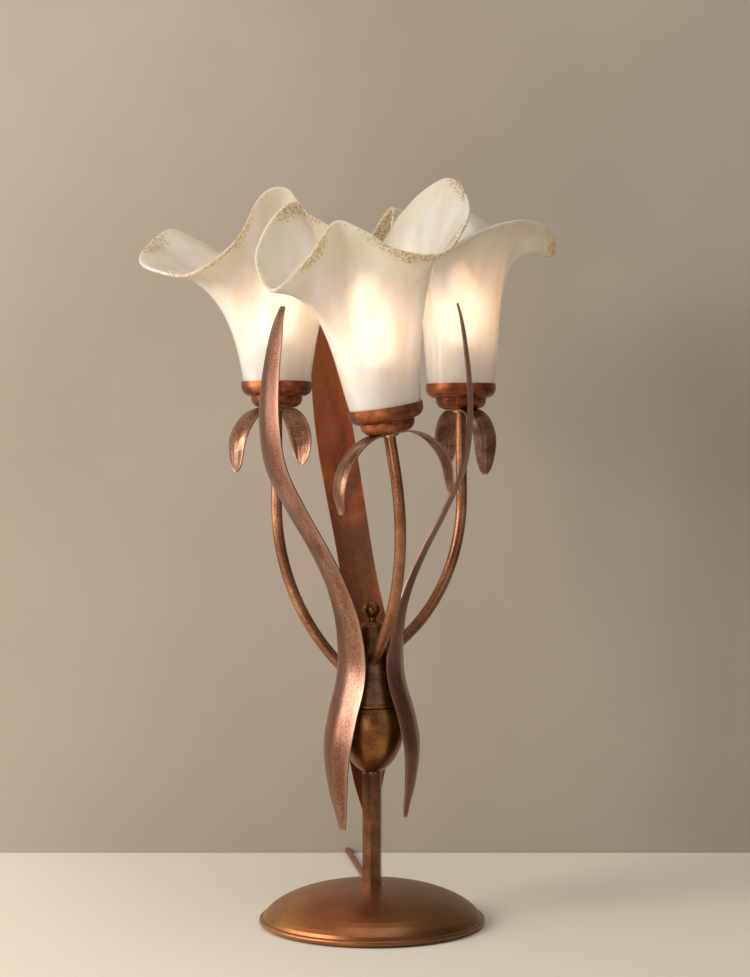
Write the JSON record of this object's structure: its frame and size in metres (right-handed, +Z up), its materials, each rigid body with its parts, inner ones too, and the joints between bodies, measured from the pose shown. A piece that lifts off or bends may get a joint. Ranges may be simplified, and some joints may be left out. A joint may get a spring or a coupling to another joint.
{
  "type": "tulip shade table lamp",
  "caption": "Table lamp: domed base, six-sided stem, egg-shaped body with bent arms and long leaves, lipped alabaster glass tulip shades in copper cups, switch on the cord.",
  "frame": {"origin": "middle of the base's underside, on the table", "axes": "+Z up along the stem, +X to the right of the front view, +Y away from the front, towards the cord's exit"},
  "size_m": [0.3596, 0.5783, 0.6154],
  "materials": {
    "felt": "napped felt",
    "cast_iron": "rough cast",
    "patina_bronze": "antiqued bronze patina under clear lacquer",
    "patina_copper": "antiqued copper patina under clear lacquer",
    "patina_dark": "dark antiqued copper patina under clear lacquer",
    "brass": "turned",
    "zinc": "zinc plated",
    "nickel": "nickel plated",
    "white_plastic": "moulded",
    "black_plastic": "moulded phenolic",
    "brown_plastic": "moulded",
    "dark_plastic": "moulded",
    "cord_jacket": "smooth brown jacket",
    "lead_sleeve": "smooth sleeve",
    "tie_wire": "plastic covered wire",
    "alabaster_glass": "frosted alabaster glass with amber frit along the lip",
    "opal_glass": "opal coated"
  },
  "bodies": {
    "lamp": {"base_pad": "felt", "base_weight": "cast_iron", "base_dome": "patina_bronze", "base_washer": "zinc", "base_nut": "zinc", "cord_bushing": "cord_jacket", "terminal_block": "white_plastic", "feed_lead": "cord_jacket", "stem_lead": "lead_sleeve", "splice_cap": "white_plastic", "centre_rod": "brass", "stem_tube": "patina_copper", "lower_bowl": "patina_bronze", "rim_ring": "patina_copper", "upper_cone": "patina_dark", "ball_finial": "patina_copper", "arm_left": "patina_copper", "arm_right": "patina_copper", "arm_front": "patina_copper", "arm_leads": "lead_sleeve", "arm_nipples": "brass", "leaf_left": "patina_copper", "leaf_right": "patina_copper", "leaf_back": "patina_copper", "leaf_studs": "patina_dark", "calyx_left": "patina_copper", "calyx_right": "patina_copper", "calyx_front": "patina_copper", "cup_left": "patina_dark", "cup_right": "patina_dark", "cup_front": "patina_dark", "cup_nuts": "brass", "lampholder_left": "black_plastic", "lampholder_right": "black_plastic", "lampholder_front": "black_plastic", "shade_rings": "black_plastic", "shade_left": "alabaster_glass", "shade_right": "alabaster_glass", "shade_front": "alabaster_glass", "bulb_caps": "nickel", "bulb_left": "opal_glass", "bulb_right": "opal_glass", "bulb_front": "opal_glass", "mains_cord": "cord_jacket", "cord_coil": "cord_jacket", "coil_tie": "tie_wire", "switch_cord": "cord_jacket", "plug_cord": "cord_jacket", "switch_base": "brown_plastic", "switch_cover": "brown_plastic", "switch_screws": "zinc", "plug_body": "brown_plastic", "plug_pins": "nickel"},
    "rocker": {"switch_rocker": "dark_plastic"}
  },
  "joints": [
    {"name": "rocker_tilt", "type": "hinge", "parent": "lamp", "child": "rocker", "pos_m": [0.096, 0.3954, 0.0135], "axis": [0, 1, 0], "range_deg": [-16, 0]}
  ]
}
